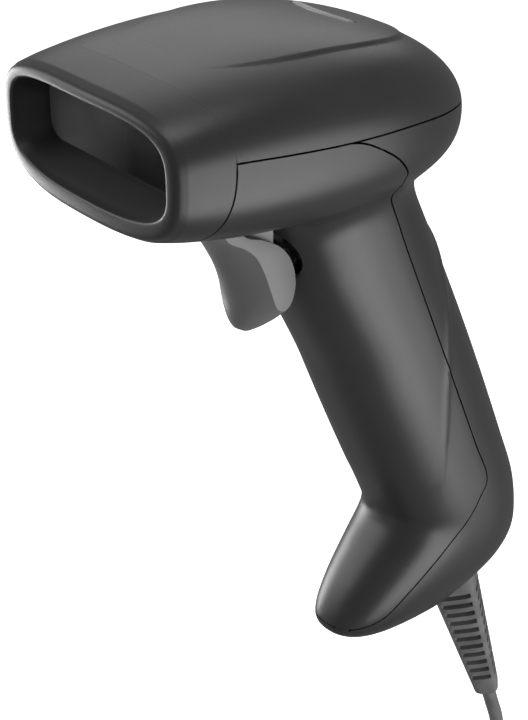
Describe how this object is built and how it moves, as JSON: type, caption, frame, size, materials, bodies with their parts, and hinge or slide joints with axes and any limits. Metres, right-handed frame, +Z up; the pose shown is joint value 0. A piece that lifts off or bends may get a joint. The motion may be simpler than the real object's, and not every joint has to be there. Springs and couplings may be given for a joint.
{
  "type": "handheld barcode scanner",
  "caption": "Corded pistol-grip scanner: low wide head with a recessed window, leaning grip flared to a toe, finger trigger, ribbed strain relief and coiled cable.",
  "frame": {"origin": "middle of the grip, in the plane of symmetry, where the hand closes round it", "axes": "+Z up, -Y the way the nose and window look, +X to the scanner's own left"},
  "size_m": [0.0993, 0.1414, 0.2623],
  "materials": {
    "shell_plastic": "fine satin texture, dark grey",
    "bezel_plastic": "fine satin texture, dark grey",
    "trigger_plastic": "satin mid grey",
    "light_pipe": "polished clear moulding",
    "scan_window": "dark tinted, polished, flat",
    "gasket_foam": "closed cell foam",
    "chassis_plastic": "moulded black",
    "steel": "zinc plated",
    "spring_steel": "drawn spring wire",
    "black_plastic": "moulded black",
    "plunger_plastic": "moulded red button",
    "engine_plastic": "moulded black",
    "lens_barrel": "flat black, threaded look",
    "lens_glass": "coated lens",
    "sensor_glass": "covered image sensor",
    "aimer_lens": "red aiming optic",
    "led_resin": "clear and phosphor resin",
    "circuit_board": "solder mask over glass fibre",
    "flex_film": "amber film",
    "chip_resin": "moulded epoxy",
    "socket_plastic": "moulded ivory",
    "cable_jacket": "soft matt jacket",
    "clear_plug": "clear moulded plug",
    "boot_rubber": "soft matt moulding",
    "black_screws": "blackened steel",
    "tie_strap": "woven hook strap",
    "plated_steel": "nickel plated sheet"
  },
  "bodies": {
    "housing": {"top_cover": "shell_plastic", "nose_bezel": "bezel_plastic", "front_shell": "shell_plastic", "rear_shell": "shell_plastic", "status_light_pipe": "light_pipe", "scan_window": "scan_window", "window_gasket": "gasket_foam", "chassis": "chassis_plastic", "trigger_pin": "steel", "trigger_spring": "spring_steel", "trigger_switch": "black_plastic", "engine_housing": "engine_plastic", "lens_barrel": "lens_barrel", "lens_glass": "lens_glass", "image_sensor": "sensor_glass", "aimer_lens": "aimer_lens", "illumination_leds": "led_resin", "engine_board": "circuit_board", "engine_flex": "flex_film", "engine_screws": "steel", "main_board": "circuit_board", "board_chips": "chip_resin", "status_led": "led_resin", "beeper": "black_plastic", "board_screws": "steel", "chassis_screws": "steel", "board_socket": "socket_plastic", "inner_lead": "cable_jacket", "cable_socket": "black_plastic", "cable_plug": "clear_plug", "strain_relief": "boot_rubber", "housing_screws": "black_screws", "cord": "cable_jacket", "cord_coil": "cable_jacket", "cord_tail": "cable_jacket", "cord_tie": "tie_strap", "usb_plug_body": "boot_rubber", "usb_plug_shell": "plated_steel", "usb_tongue": "socket_plastic"},
    "trigger": {"trigger": "trigger_plastic"},
    "plunger": {"switch_plunger": "plunger_plastic"}
  },
  "joints": [
    {"name": "trigger_pull", "type": "hinge", "parent": "housing", "child": "trigger", "pos_m": [0, -0.04911, 0.0665], "axis": [1, 0, 0], "range_deg": [0, 4], "stiffness_Nm_per_rad": 1.2, "springref_deg": -6.88, "deforming": ["trigger_spring"]},
    {"name": "plunger_press", "type": "slide", "parent": "housing", "child": "plunger", "axis": [0, 1, 0], "range_m": [0, 0.00106]}
  ],
  "couplings": [
    {"joint": "plunger_press", "follows": "trigger_pull", "m_per_rad": 0.015}
  ]
}
